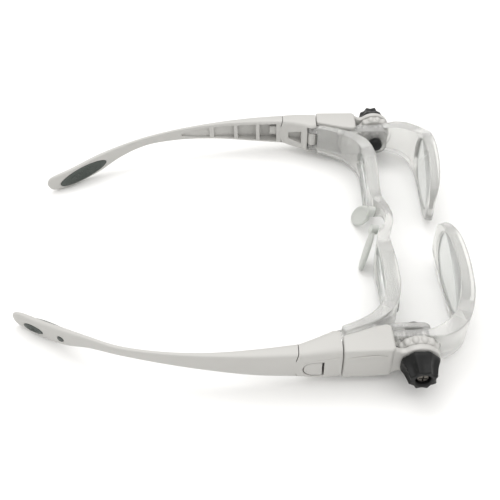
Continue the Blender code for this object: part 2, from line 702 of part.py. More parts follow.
def add_lens_arm(label, side):
    at, length = curve_through(ARM)
    offset = -ARM[0][0]
    corners = rack_columns(offset)
    start, end = RACK_WINDOW[0] + offset, RACK_WINDOW[1] + offset
    root = AXIS_Z + PITCH_R + DEDENDUM
    places = [start] + [p for p, _ in corners] + [end]
    heights = [root] + [z for _, z in corners] + [root]
    rack = (start, end, lambda d: AXIS_Z - 4.2, lambda d: float(np.interp(d, places, heights)))
    middle = distance_where(at, length, 1, PUPIL_Y)
    window = oval_window(middle, OBJ_HALF_Y, OBJ_HALF_Z, OBJ_Z)
    columns = ([0.0] + places + columns_between(end, window[0], 2.6)[1:-1]
               + window_columns(window, 14) + columns_between(window[1], length, 1.6)[1:])
    arm = piece("lens_arm_" + label, band(at, columns, [rack, window], 1), "clear_plastic", side,
                (0.0, ARM_MID, AXIS_Z), chamfer=0.35)
    combine(arm, "cut_wheel_room_" + label,
            turned(((WHEEL_IN - GAP, WHEEL_R + 0.5), (WHEEL_OUT + 3, WHEEL_R + 0.5)), 36), side,
            "DIFFERENCE")

    def faces_x(share):
        return (-1.9, 1.2 + 2.4 * (1 - share**2))

    solid = lens(at, middle, 1, OBJ_HALF_Y - LENS_END_GAP, OBJ_HALF_Z - LENS_RIM_GAP, OBJ_Z, faces_x)
    piece("objective_lens_" + label, solid, "lens_plastic", side, (0.0, ARM_MID, AXIS_Z))


def build():
    clear_scene()
    add_front_frame()
    for label, side in SIDES:
        add_eyepiece(label, side)
        add_nose_pad(label, side)
        add_side_cover(label, side)
        add_hinge(label, side)
        add_temple(label, side)
        add_drive(label, side)
        add_lens_arm(label, side)


build()
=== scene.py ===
# %% [markdown]
# # A head-worn binocular magnifier
# Spectacles for close work. A clear frame holds two eyepiece lenses. In front of it two clear
# arms carry the large lenses, and a black knob at each temple moves its arm with a rack and
# pinion. White arms fold on hinges behind the knobs and end in rubber grips. Its nodes say
# where everything is and what moves with what, so each cell below only makes a better looking
# piece in a place that is already known.

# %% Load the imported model
import json
import math

import bmesh
import bpy
import numpy as np
from mathutils import Matrix, Vector

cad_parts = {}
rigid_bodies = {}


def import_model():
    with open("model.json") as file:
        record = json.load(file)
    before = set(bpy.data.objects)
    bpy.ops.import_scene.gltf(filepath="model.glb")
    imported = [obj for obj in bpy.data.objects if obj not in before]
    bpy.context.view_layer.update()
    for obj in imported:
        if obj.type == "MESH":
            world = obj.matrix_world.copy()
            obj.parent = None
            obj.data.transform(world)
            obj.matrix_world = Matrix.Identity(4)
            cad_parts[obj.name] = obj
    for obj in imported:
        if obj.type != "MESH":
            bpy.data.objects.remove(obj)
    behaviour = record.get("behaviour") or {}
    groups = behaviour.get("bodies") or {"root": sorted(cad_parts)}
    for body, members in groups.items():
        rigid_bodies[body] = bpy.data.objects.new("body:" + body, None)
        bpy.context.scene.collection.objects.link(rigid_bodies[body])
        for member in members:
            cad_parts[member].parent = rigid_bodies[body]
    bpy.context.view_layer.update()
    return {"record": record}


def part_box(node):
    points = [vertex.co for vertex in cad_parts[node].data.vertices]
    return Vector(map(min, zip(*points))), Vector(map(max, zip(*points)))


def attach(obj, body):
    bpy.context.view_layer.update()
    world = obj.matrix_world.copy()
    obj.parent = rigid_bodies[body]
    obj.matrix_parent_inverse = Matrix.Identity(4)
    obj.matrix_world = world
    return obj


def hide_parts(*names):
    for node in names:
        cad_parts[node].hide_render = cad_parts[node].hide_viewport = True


for item in list(bpy.data.objects):
    bpy.data.objects.remove(item, do_unlink=True)
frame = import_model()
record = frame["record"]
SLOT = {row["node"]: row["material_slot"] for row in record["subparts"]}
BODY = {node: body for body, nodes in record["behaviour"]["bodies"].items() for node in nodes}

# %% [markdown]
# ## Units and the middle line
# Lengths are easier to read in millimetres, so every table is in millimetres and one factor
# turns them into metres. The shaft of the left knob gives the focus axis: x is counted from it,
# and z from the table. The left half is drawn once, and mirrored across y = 0 for the right.

# %% The focus axis
MM = 0.001
SIDES = (("left", 1.0), ("right", -1.0))
shaft_low, shaft_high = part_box("pinion_shaft_left")
AXIS_X = (shaft_low.x + shaft_high.x) / 2 / MM
AXIS_Z = (shaft_low.z + shaft_high.z) / 2 / MM
print("focus axis at x %.2f mm, z %.2f mm" % (AXIS_X, AXIS_Z))

# %% [markdown]
# ## Camera, floor and light
# The camera looks down at 46 degrees from the wearer's right. The light is a soft dome, bright
# overhead and dimmer at the horizon, as in a light tent, with one wide softbox for the
# highlights. A dome that was equally bright all round would leave the sides as light as the tops.
# A pale band just above the horizon lets the floor run out softly in low views.

# %% Camera
CAMERA_PLACE = ((AXIS_X - 60.6) * MM, -0.2336, 0.2427)
CAMERA_TURN = (0.7626, 0.0193, -0.0115)
lens_camera = bpy.data.cameras.new("studio_camera")
lens_camera.lens = 53.713
lens_camera.sensor_width = 36.0
lens_camera.clip_start = 0.01
camera = bpy.data.objects.new("studio_camera", lens_camera)
camera.location = CAMERA_PLACE
camera.rotation_euler = CAMERA_TURN
bpy.context.collection.objects.link(camera)
bpy.context.scene.camera = camera
bpy.context.scene.view_settings.view_transform = "Standard"
print("camera", [round(v, 3) for v in camera.location])


# %% Helpers for node trees
def linear(code):
    """Linear colour with alpha 1 from an sRGB hex code."""
    parts = [int(code[i:i + 2], 16) / 255 for i in (1, 3, 5)]
    return tuple(v / 12.92 if v <= 0.04045 else ((v + 0.055) / 1.055) ** 2.4 for v in parts) + (1.0,)


def add_node(tree, kind, links=None, **settings):
    """Add a node. links gives each input a socket to read or a constant."""
    made = tree.nodes.new(kind)
    for key, value in settings.items():
        setattr(made, key, value)
    for key, value in (links or {}).items():
        if isinstance(value, bpy.types.NodeSocket):
            tree.links.new(value, made.inputs[key])
        else:
            made.inputs[key].default_value = value
    return made


# %% Floor
bpy.ops.mesh.primitive_plane_add(size=6.0, location=(0, 0, -0.0002))
floor = bpy.context.object
floor.name = "studio_floor"
floor_paint = bpy.data.materials.new("matt_paper_sweep")
floor_paint.use_nodes = True
floor_paint.node_tree.nodes["Principled BSDF"].inputs["Base Color"].default_value = linear("#F4F4F3")
floor_paint.node_tree.nodes["Principled BSDF"].inputs["Roughness"].default_value = 0.95
floor_paint.node_tree.nodes["Principled BSDF"].inputs["Specular IOR Level"].default_value = 0.1
floor.data.materials.append(floor_paint)

# %% Dome and softbox
DOME_HORIZON, DOME_TOP = 0.16, 1.75
dome = bpy.data.worlds.new("light_tent")
dome.use_nodes = True
bpy.context.scene.world = dome
tree = dome.node_tree
direction = add_node(tree, "ShaderNodeTexCoord").outputs["Generated"]
height = add_node(tree, "ShaderNodeSeparateXYZ", {"Vector": direction}).outputs["Z"]
level = add_node(tree, "ShaderNodeMapRange", {"Value": height, "From Min": 0.0, "From Max": 1.0,
                                              "To Min": DOME_HORIZON, "To Max": DOME_TOP})
rim = add_node(tree, "ShaderNodeMapRange", {"Value": height, "From Min": 0.03, "From Max": 0.2,
                                            "To Min": 0.85, "To Max": 0.0})
both = add_node(tree, "ShaderNodeMath", {0: level.outputs["Result"], 1: rim.outputs["Result"]},
                operation="MAXIMUM")
tree.links.new(both.outputs[0], tree.nodes["Background"].inputs["Strength"])
tree.nodes["Background"].inputs["Color"].default_value = linear("#FDFCFB")
softbox = bpy.data.lights.new("softbox", "AREA")
softbox.shape = "RECTANGLE"
softbox.size, softbox.size_y = 0.7, 0.35
softbox.energy = 1.6
lamp = bpy.data.objects.new("softbox", softbox)
lamp.location = (-0.15, 0.35, 0.75)
lamp.rotation_euler = (Vector((0.0, 0.0, 0.01)) - lamp.location).to_track_quat("-Z", "Y").to_euler()
bpy.context.collection.objects.link(lamp)
print("dome from", DOME_HORIZON, "to", DOME_TOP)

# %% [markdown]
# ## Finishes
# Every moulded surface has three things that a flat colour lacks: a slow drift of tone over
# centimetres, a change of gloss where it has been handled, and a fine grain from the mould.
# One function builds all three from Noise Textures on Object coordinates. Every piece sits at the
# origin, so these measure the real object in metres, and the sizes given in mm come out true.
# What is the same all over, such as IOR or transmission, is set on the shader itself.

# %% One function for every finish
PAINT = {}


def surface(slot, name, light, dark, roughness, grain, relief, drift=14.0, **shader):
    """Finish for a slot: two tones, gloss range, grain size in mm and its relief in mm."""
    paint = bpy.data.materials.new(name)
    paint.use_nodes = True
    tree = paint.node_tree
    body = tree.nodes["Principled BSDF"]
    place = add_node(tree, "ShaderNodeTexCoord").outputs["Object"]
    slow = add_node(tree, "ShaderNodeTexNoise", {"Vector": place, "Scale": 1000 / drift,
                                                 "Detail": 4.0, "Roughness": 0.55})
    fine = add_node(tree, "ShaderNodeTexNoise", {"Vector": place, "Scale": 1000 / grain,
                                                 "Detail": 2.0})
    tone = add_node(tree, "ShaderNodeMix", {"Factor": slow.outputs["Fac"], 6: linear(dark),
                                            7: linear(light)}, data_type="RGBA")
    gloss = add_node(tree, "ShaderNodeMapRange", {"Value": slow.outputs["Fac"], "From Min": 0.3,
                                                  "From Max": 0.7, "To Min": roughness[0],
                                                  "To Max": roughness[1]})
    bump = add_node(tree, "ShaderNodeBump", {"Height": fine.outputs["Fac"], "Strength": 0.6,
                                             "Distance": relief * MM})
    tree.links.new(tone.outputs[2], body.inputs["Base Color"])
    tree.links.new(gloss.outputs["Result"], body.inputs["Roughness"])
    tree.links.new(bump.outputs["Normal"], body.inputs["Normal"])
    for key, value in shader.items():
        body.inputs[key.replace("_", " ")].default_value = value
    PAINT[slot] = paint
    return paint


# %% The seven finishes
# Injection-moulded white ABS with a fine spark-eroded texture: satin, faintly warm.
surface("white_plastic", "white_abs_satin", "#BFBEBB", "#B7B6B2", (0.34, 0.5), 0.35, 0.010, IOR=1.53)
# Clear polycarbonate with a slight haze, so that a quarter of the light scatters inside it.
surface("clear_plastic", "hazy_polycarbonate", "#F7F7F5", "#EFEFED", (0.08, 0.26), 1.6, 0.003,
        drift=9.0, IOR=1.42, Transmission_Weight=0.74)
# Acrylic lenses: optically polished, so nearly no grain.
surface("lens_plastic", "polished_acrylic", "#EDEFED", "#E6E8E6", (0.02, 0.08), 4.0, 0.001,
        drift=20.0, IOR=1.44, Transmission_Weight=0.76)
# Translucent silicone: milky and dull, with a dusty skin.
surface("clear_silicone", "translucent_silicone", "#E0E2DE", "#D3D6D1", (0.42, 0.6), 0.5, 0.010,
        IOR=1.41, Transmission_Weight=0.35)
# Black nylon with a soft-touch coat: a broad dull highlight.
surface("black_plastic", "soft_touch_black", "#131414", "#0B0C0C", (0.4, 0.55), 0.3, 0.012,
        drift=5.0, IOR=1.50, Specular_IOR_Level=0.3)
# Grey-green thermoplastic rubber: dead matt, with a dusty bloom.
surface("grey_rubber", "thermoplastic_rubber", "#4B514D", "#3D433F", (0.58, 0.75), 0.4, 0.02,
        drift=4.0, IOR=1.50, Sheen_Weight=0.15)
# Turned and nickel-plated steel.
surface("steel", "nickel_plated_steel", "#6B6863", "#55524D", (0.26, 0.42), 0.2, 0.004,
        drift=3.0, Metallic=1.0)
print("finishes:", ", ".join(sorted(p.name for p in PAINT.values())))

# %% [markdown]
# ## Making a piece
# A piece starts as a list of corners and faces in millimetres. Modifiers round and subdivide it,
# Booleans join and cut it, and `settle` turns the result into plain mesh. `finish` gives it its
# surface and body and hides the imported node that it stands for.

# %% Piece helpers
def face_outward(mesh):
    """Turn every face's normal to the outside."""
    work = bmesh.new()
    work.from_mesh(mesh)
    bmesh.ops.recalc_face_normals(work, faces=work.faces)
    work.to_mesh(mesh)
    work.free()


def mesh_object(name, solid, side=1.0):
    """Object at the origin from corners in mm counted from the focus axis."""
    vertices, faces = solid
    mesh = bpy.data.meshes.new(name)
    mesh.from_pydata([((x + AXIS_X) * MM, side * y * MM, z * MM) for x, y, z in vertices], [], faces)
    face_outward(mesh)
    item = bpy.data.objects.new(name, mesh)
    bpy.context.collection.objects.link(item)
    return item


def settle(item):
    """Turn live modifiers into plain mesh."""
    graph = bpy.context.evaluated_depsgraph_get()
    mesh = bpy.data.meshes.new_from_object(item.evaluated_get(graph))
    item.modifiers.clear()
    item.data = mesh
    return item


def rounded(item, radius, segments=3, levels=0, angle=50):
    """Round the sharp edges, and subdivide the whole if levels is given."""
    bevel = item.modifiers.new("edge", "BEVEL")
    bevel.width, bevel.segments = radius * MM, segments
    bevel.limit_method, bevel.angle_limit = "ANGLE", math.radians(angle)
    if levels:
        smooth = item.modifiers.new("smooth", "SUBSURF")
        smooth.levels = smooth.render_levels = levels
    return settle(item)


def combined(item, tools, operation):
    """Join the tools to the item, or cut them from it, and remove them."""
    for tool in tools:
        step = item.modifiers.new(tool.name, "BOOLEAN")
        step.operation, step.solver, step.object = operation, "EXACT", tool
        settle(item)
        bpy.data.objects.remove(tool, do_unlink=True)
    return item


def finish(item, node, angle=35):
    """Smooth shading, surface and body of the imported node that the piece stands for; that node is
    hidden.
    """
    item.data.materials.clear()
    item.data.materials.append(PAINT[SLOT[node]])
    item.data.shade_smooth()
    item.data.set_sharp_from_angle(angle=math.radians(angle))
    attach(item, BODY[node])
    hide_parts(node)
    print(item.name, len(item.data.polygons), "faces")
    return item


# %% [markdown]
# ## Curves and simple solids
# Most mouldings here are a section that changes along a curve seen from above. The curve runs
# smoothly through stations, rows of (x, y, sizes...). The same helpers make prisms, turned solids
# and the oval plugs of the rubber pads.

# %% Curve through stations
def curve_through(stations):
    """Function of arc length for a smooth curve through the stations, and the curve's length."""
    table = np.array(stations, dtype=float)
    steps = np.linalg.norm(np.diff(table[:, :2], axis=0), axis=1)
    knots = np.concatenate(([0.0], np.cumsum(steps)))
    rate = np.diff(table, axis=0) / steps[:, None]
    before, after = steps[:-1, None], steps[1:, None]
    inner = (after * rate[:-1] + before * rate[1:]) / (before + after)
    slope = np.vstack((rate[:1], inner, rate[-1:]))

    def at(distance):
        index = int(np.clip(np.searchsorted(knots, distance) - 1, 0, len(steps) - 1))
        span = steps[index]
        t = (distance - knots[index]) / span
        low, high = table[index], table[index + 1]
        return ((2 * t**3 - 3 * t**2 + 1) * low + (t**3 - 2 * t**2 + t) * span * slope[index]
                + (3 * t**2 - 2 * t**3) * high + (t**3 - t**2) * span * slope[index + 1])

    return at, knots[-1]


def distance_where(at, length, column, value):
    """Arc length at which one column of the curve passes a value."""
    grid = np.linspace(0.0, length, 600)
    values = np.array([at(d)[column] for d in grid])
    crossing = np.nonzero(np.diff(np.sign(values - value)))[0][0]
    share = (value - values[crossing]) / (values[crossing + 1] - values[crossing])
    return grid[crossing] + share * (grid[1] - grid[0])


def normal_at(at, distance, outward):
    along = (at(distance + 0.05) - at(distance - 0.05))[:2]
    along /= np.linalg.norm(along)
    return outward * np.array((-along[1], along[0]))


def spread(start, end, step):
    count = max(1, round((end - start) / step))
    return [start + (end - start) * i / count for i in range(count + 1)]


# %% Prisms and turned solids
def closed_rings(rings, poles=None):
    """Skin equal rings, and close the ends with a fan to each pole or a flat cap."""
    count = len(rings[0])
    vertices = [point for ring in rings for point in ring]
    faces = []
    for r in range(len(rings) - 1):
        for k in range(count):
            j = (k + 1) % count
            faces.append((r * count + k, r * count + j, (r + 1) * count + j, (r + 1) * count + k))
    first, final = list(range(count)), [(len(rings) - 1) * count + k for k in range(count)]
    if poles is None:
        return vertices, faces + [tuple(first), tuple(final)]
    for ring, pole in ((first, poles[0]), (final, poles[1])):
        vertices.append(pole)
        faces += [(ring[k], ring[(k + 1) % count], len(vertices) - 1) for k in range(count)]
    return vertices, faces


def turned(profile, spokes=96, closed=False):
    """Solid turned about the focus axis from (y, radius) pairs."""
    rings = []
    for y, radius in profile:
        rings.append([(radius * math.sin(2 * math.pi * k / spokes), y,
                       AXIS_Z + radius * math.cos(2 * math.pi * k / spokes)) for k in range(spokes)])
    if closed:
        total = len(rings) * spokes
        vertices, faces = closed_rings(rings + rings[:1])
        return vertices[:total], [tuple(i % total for i in f) for f in faces if len(f) == 4]
    return closed_rings(rings)


def upright(outline, low, high):
    return closed_rings([[(x, y, z) for x, y in outline] for z in (low, high)])


def sideways(outline, inner, outer):
    return closed_rings([[(x, y, z) for x, z in outline] for y in (inner, outer)])


def box(x0, x1, y0, y1, z0, z1):
    return upright(((x0, y0), (x1, y0), (x1, y1), (x0, y1)), z0, z1)


def arc(cx, cy, radius, start, end, count):
    """Points on an arc, angles in degrees."""
    turns = [math.radians(start + (end - start) * i / count) for i in range(count + 1)]
    return [(cx + radius * math.cos(a), cy + radius * math.sin(a)) for a in turns]


# %% [markdown]
# ## The clear front frame
# On the real frame one clear moulding makes both eye rims, the arch over the nose and the walls
# back to the hinges. It could be carved from a block, but it is really an upright band that
# follows a curve, so it is made as one: a coarse cage of quads with two oval windows. A small
# bevel and two levels of Subdivision Surface then give the soft flowing edges of a moulding.

# %% Band with windows
OVAL_POWER = 2.5
PUPIL_Y = 31.0


def band(at, columns, windows, outward):
    """Upright band along a curve, pierced by windows given as (start, end, low, high)."""
    vertices, inside = [], []
    for distance in columns:
        x, y, thickness, bottom, top = at(distance)
        nx, ny = normal_at(at, distance, outward)
        third = (top - bottom) / 3
        low, high, window = bottom + third, top - third, -1
        for number, (start, end, low_edge, high_edge) in enumerate(windows):
            if start - 1e-6 <= distance <= end + 1e-6:
                low, high, window = low_edge(distance), high_edge(distance), number
        inside.append(window)
        for z in (bottom, low, high, top):
            for half in (-0.5, 0.5):
                vertices.append((x + nx * half * thickness, y + ny * half * thickness, z))

    def corner(column, row, face):
        return (column * 4 + row) * 2 + face

    faces, last = [], len(columns) - 1
    for c in range(last):
        open_here = inside[c] >= 0 and inside[c] == inside[c + 1]
        for row in range(3):
            for face in (0, 1) if not (row == 1 and open_here) else ():
                faces.append((corner(c, row, face), corner(c + 1, row, face),
                              corner(c + 1, row + 1, face), corner(c, row + 1, face)))
        for row in (0, 1, 2, 3) if open_here else (0, 3):
            faces.append((corner(c, row, 0), corner(c, row, 1),
                          corner(c + 1, row, 1), corner(c + 1, row, 0)))
    ends = [(0, row) for row in range(3)] + [(last, row) for row in range(3)]
    for c in range(1, last):
        if inside[c] >= 0 and (inside[c - 1] != inside[c] or inside[c + 1] != inside[c]):
            ends.append((c, 1))
    for c, row in ends:
        faces.append((corner(c, row, 0), corner(c, row, 1),
                      corner(c, row + 1, 1), corner(c, row + 1, 0)))
    return vertices, faces


def oval_window(middle, half_length, half_height, centre_z):
    """Window with an oval outline, a little squarer than an ellipse."""
    def rise(distance):
        share = min(abs(distance - middle) / half_length, 1.0)
        return half_height * max(1.0 - share**OVAL_POWER, 0.0) ** (1.0 / OVAL_POWER)

    end = half_length * 0.988
    return middle - end, middle + end, lambda d: centre_z - rise(d), lambda d: centre_z + rise(d)


def window_columns(window, count):
    """Arc lengths across a window, closer together at its ends."""
    middle, half = (window[0] + window[1]) / 2, (window[1] - window[0]) / 2
    return [middle - half * math.cos(math.pi * i / count) for i in range(count + 1)]


# %% Frame and its lugs
# Columns: x, y, thickness, bottom, top.
FRAME_HALF = (
    (-1.8, 0.0, 3.4, 13.2, 18.6), (-2.9, 5.5, 3.4, 12.8, 18.8), (-6.0, 10.6, 4.6, 7.6, 19.9),
    (-6.6, 16.0, 5.4, 3.4, 21.0), (-6.1, 31.0, 6.2, 2.4, 21.4), (-6.8, 45.0, 5.8, 2.6, 21.1),
    (-9.3, 51.1, 5.6, 3.0, 20.6), (-12.8, 55.0, 4.8, 3.3, 20.1), (-18.2, 58.3, 3.8, 3.5, 19.9),
    (-28.0, 62.3, 3.2, 3.8, 19.8))
EYE_HALF_Y, EYE_HALF_Z, EYE_Z = 17.0, 7.8, 11.9
LUG_IN, LUG_OUT = 59.0, 61.4
HINGE_X, HINGE_Y = -30.7, 64.1
KNUCKLE_R = 2.2
SHAFT_R, BORE_PLAY = 1.6, 0.3
CLEAR_EDGE = 0.55
LENS_END_GAP, LENS_RIM_GAP = 1.1, 0.4


def frame_curve():
    right = [(x, -y, *sizes) for x, y, *sizes in FRAME_HALF[:0:-1]]
    return curve_through(right + list(FRAME_HALF))


def lug_outline():
    rear, step, front, corner, roof, free = -18.5, -9.0, 5.9, 4.0, 6.1, 6.9
    return ([(rear, AXIS_Z - roof), (step, AXIS_Z - roof), (step, AXIS_Z - free)]
            + arc(front - corner, AXIS_Z - free + corner, corner, -90, 0, 12)
            + arc(front - corner, AXIS_Z + free - corner, corner, 0, 90, 12)
            + [(step, AXIS_Z + free), (step, AXIS_Z + roof), (rear, AXIS_Z + roof)])


at, length = frame_curve()
eye_middles = [distance_where(at, length, 1, side * PUPIL_Y) for side in (-1, 1)]
eye_windows = [oval_window(m, EYE_HALF_Y, EYE_HALF_Z, EYE_Z) for m in eye_middles]
columns = (spread(0.0, eye_windows[0][0], 4.2)[:-1] + window_columns(eye_windows[0], 12)
           + spread(eye_windows[0][1], eye_windows[1][0], 3.0)[1:-1]
           + window_columns(eye_windows[1], 12) + spread(eye_windows[1][1], length, 4.2)[1:])
clear_frame = rounded(mesh_object("clear_front_frame", band(at, columns, eye_windows, -1)),
                      CLEAR_EDGE, 2, levels=2)
for label, side in SIDES:
    lug = rounded(mesh_object("lug", sideways(lug_outline(), LUG_IN, LUG_OUT), side), 0.3)
    ear_plan = ([(-27.2, 61.2), (-26.6, 63.4)] + arc(HINGE_X, HINGE_Y, KNUCKLE_R, 50, 250, 24))
    ears = [mesh_object("ear", upright(ear_plan, low, high), side)
            for low, high in ((5.4, 8.1), (15.6, 18.0))]
    combined(clear_frame, [lug] + ears, "UNION")
    bore_r = SHAFT_R + BORE_PLAY
    bore = mesh_object("bore", turned(((57.0, bore_r), (63.4, bore_r)), 48), side)
    combined(clear_frame, [bore], "DIFFERENCE")
finish(clear_frame, "front_frame", 40)

# %% [markdown]
# ## The lenses
# A lens is two smooth faces inside one oval outline. Turning a profile would only give a round
# one, so rings of the oval shrink towards the middle, and each ring stands at the depth that the
# lens's curve has there. The eyepieces are hollow on both faces, the objectives bulge forward.

# %% Lens builder
def oval_lens(at, middle, outward, half_length, half_height, centre_z, depth, spokes=96, rings=14):
    """Lens in a window; depth gives its back and front offsets at a share of the radius."""
    x, y = at(middle)[:2]
    nx, ny = normal_at(at, middle, outward)

    def ring(share, offset):
        points = []
        for k in range(spokes):
            c, s = math.cos(2 * math.pi * k / spokes), math.sin(2 * math.pi * k / spokes)
            u = math.copysign(abs(c) ** (2 / OVAL_POWER), c) * half_length * share
            v = math.copysign(abs(s) ** (2 / OVAL_POWER), s) * half_height * share
            points.append((x + nx * offset - ny * u, y + ny * offset + nx * u, centre_z + v))
        return points

    shares = [1.0 - i / rings for i in range(rings)]
    layers = [ring(s, depth(s)[0]) for s in shares[::-1]] + [ring(s, depth(s)[1]) for s in shares]
    poles = [(x + nx * depth(0.0)[f], y + ny * depth(0.0)[f], centre_z) for f in (0, 1)]
    return closed_rings(layers, poles)


for label, side in SIDES:
    solid = oval_lens(at, eye_middles[1], -1, EYE_HALF_Y - LENS_END_GAP, EYE_HALF_Z - LENS_RIM_GAP, EYE_Z,
                      lambda share: (-0.7 - 2.0 * share**2, 0.7 + 1.6 * share**2))
    finish(mesh_object("eyepiece_" + label, solid, side), "eyepiece_lens_" + label)

# %% [markdown]
# ## The lens arms
# Each clear arm starts behind the knob, turns the corner and widens into the rim of the large
# lens. It is the same kind of band as the frame. The rack, a row of teeth on the upper edge of a
# slot, is cut afterwards with a toothed prism, because subdivision would melt the teeth.

# %% Lens arms with their racks
ARM_MID, ARM_THICK = 63.5, 3.4
ARM = (
    (-15.0, ARM_MID, ARM_THICK, 5.5, 17.9), (-6.0, ARM_MID, ARM_THICK, 5.4, 18.0),
    (0.5, ARM_MID, ARM_THICK, 4.8, 18.1), (5.2, 63.6, 3.6, 4.2, 18.5),
    (9.4, 63.5, 5.8, 3.9, 19.3), (12.9, 62.0, 6.1, 3.7, 19.9), (16.4, 59.2, 6.2, 3.4, 20.7),
    (19.3, 54.8, 5.9, 2.5, 22.2), (20.8, 49.0, 5.4, 1.1, 25.4), (21.0, 42.0, 4.9, 0.3, 28.3),
    (20.8, 31.0, 4.8, 0.0, 29.5), (20.2, 20.0, 4.6, 0.7, 27.8), (19.2, 12.4, 4.0, 3.2, 24.6),
    (18.4, 9.3, 3.4, 5.4, 22.2), (17.8, 7.5, 1.9, 8.8, 18.8))
OBJ_HALF_Y, OBJ_HALF_Z, OBJ_Z = 19.0, 12.6, 14.9
RACK_PITCH = 2.4
PITCH_R = 8 * RACK_PITCH / (2 * math.pi)
WHEEL_IN, WHEEL_OUT, WHEEL_R = 65.6, 69.5, 8.5


def rack_outline():
    """Slot outline (x, z) with the rack's teeth along its upper edge."""
    root, tip = AXIS_Z + PITCH_R + 0.95, AXIS_Z + PITCH_R - 0.65
    points = [(-11.6, AXIS_Z - 4.2), (-11.6, root)]
    for tooth in range(-5, 2):
        middle = (tooth + 0.5) * RACK_PITCH
        points += [(middle - 0.8, root), (middle - 0.22, tip), (middle + 0.22, tip), (middle + 0.8, root)]
    return points + [(4.6, root), (4.6, AXIS_Z - 4.2)]


arm_at, arm_length = curve_through(ARM)
arm_middle = distance_where(arm_at, arm_length, 1, PUPIL_Y)
arm_window = oval_window(arm_middle, OBJ_HALF_Y, OBJ_HALF_Z, OBJ_Z)
columns = (spread(0.0, arm_window[0], 3.2)[:-1] + window_columns(arm_window, 14)
           + spread(arm_window[1], arm_length, 1.6)[1:])
for label, side in SIDES:
    arm = rounded(mesh_object("clear_lens_arm_" + label, band(arm_at, columns, [arm_window], 1), side),
                  CLEAR_EDGE, 2, levels=2)
    slot_tool = mesh_object("slot", sideways(rack_outline(), 58.0, 69.0), side)
    room = mesh_object("room", turned(((WHEEL_IN - 0.3, WHEEL_R + 0.5),
                                       (WHEEL_OUT + 3, WHEEL_R + 0.5)), 72), side)
    combined(arm, [slot_tool, room], "DIFFERENCE")
    finish(arm, "lens_arm_" + label, 40)
    solid = oval_lens(arm_at, arm_middle, 1, OBJ_HALF_Y - LENS_END_GAP, OBJ_HALF_Z - LENS_RIM_GAP, OBJ_Z,
                      lambda share: (-2.1, 1.15 + 2.35 * (1 - share**2)))
    finish(mesh_object("front_lens_" + label, solid, side), "objective_lens_" + label)

# %% [markdown]
# ## The nose pads
# A soft clear paddle hangs on each side of the nose. Its outline is an oval and its edge is
# fully rounded, so it is built from ovals whose size follows a quarter circle at each face, with
# a shallow dish where it touches the skin.

# %% Oval plug and nose pads
def plug_axes(along, normal):
    """Unit vectors along, across and out of a plug's seat."""
    along, normal = np.array(along, dtype=float), np.array(normal, dtype=float)
    along /= np.linalg.norm(along)
    normal -= along * normal.dot(along)
    normal /= np.linalg.norm(normal)
    return along, np.cross(normal, along), normal


def oval_plug(centre, along, normal, half, profile, spokes=64):
    """Oval solid from (depth, shrink) pairs, closed to a point in the middle of each face."""
    u, v, w = plug_axes(along, normal)
    rings = [[tuple(np.array(centre) + w * depth
                    + u * (half[0] - shrink) * math.cos(2 * math.pi * k / spokes)
                    + v * (half[1] - shrink) * math.sin(2 * math.pi * k / spokes))
              for k in range(spokes)] for depth, shrink in profile]
    poles = [tuple(np.array(centre) + w * profile[i][0]) for i in (0, -1)]
    return closed_rings(rings, poles)


def round_profile(low, high, radius, steps=6):
    """Depth and shrink of a slab whose edges are rounded on both faces."""
    turn = [math.pi / 2 * i / steps for i in range(steps + 1)]
    lower = [(low + radius * (1 - math.sin(a)), radius * (1 - math.cos(a))) for a in turn[::-1]]
    upper = [(high - radius * (1 - math.sin(a)), radius * (1 - math.cos(a))) for a in turn]
    return lower + upper


PAD_TOP, PAD_LOW = np.array((-9.6, 6.4, 14.1)), np.array((-14.6, 15.6, 1.5))
PAD_NORMAL = (-0.95, -0.21, 0.22)
for label, side in SIDES:
    profile = round_profile(-1.0, 0.9, 0.85) + [(0.75, 1.3), (0.45, 2.0), (0.4, 3.0)]
    pad = mesh_object("silicone_nose_pad_" + label,
                      oval_plug((PAD_TOP + PAD_LOW) / 2, PAD_LOW - PAD_TOP, PAD_NORMAL,
                                (9.0, 4.3), profile), side)
    neck = mesh_object("neck", oval_plug((-7.6, 5.6, 15.0), (0.3, 0.2, 1.0), (-1.0, 0.0, 0.0),
                                         (2.4, 1.8), ((0.0, 0.0), (3.0, 0.0)), 32), side)
    combined(pad, [neck], "UNION")
    finish(pad, "nose_pad_" + label, 45)

# %% [markdown]
# ## The white side covers
# A hollow shell closes the focus drive and ends in a round lobe behind the knob. The block and
# the lobe are rounded first and joined afterwards, as a mould maker blends two shapes, and the
# hollow is cut last so that the wall stays even. A low ridge runs along the outer face.

# %% Side covers
SEAM_FRONT = -28.6
COVER_LOW, COVER_HIGH, COVER_EDGE = 3.6, 19.9, 0.9
HOLLOW_LOW, HOLLOW_HIGH = 5.0, 18.4
LOBE_IN, LOBE_OUT, LOBE_R = 69.9, 72.3, 8.0


def ridge(points, radius, steps=28, spokes=10):
    """Slender round rib through (x, y, z) points, pointed at both ends."""
    table = np.array(points, dtype=float)
    t = np.linspace(0, len(table) - 1, steps)
    path = np.array([[np.interp(v, range(len(table)), table[:, a]) for a in range(3)] for v in t])
    rings = []
    for i, centre in enumerate(path):
        size = radius * max(0.08, math.sin(math.pi * i / (steps - 1))) ** 0.4
        rings.append([(centre[0], centre[1] + size * math.cos(2 * math.pi * k / spokes),
                       centre[2] + size * math.sin(2 * math.pi * k / spokes))
                      for k in range(spokes)])
    return closed_rings(rings)


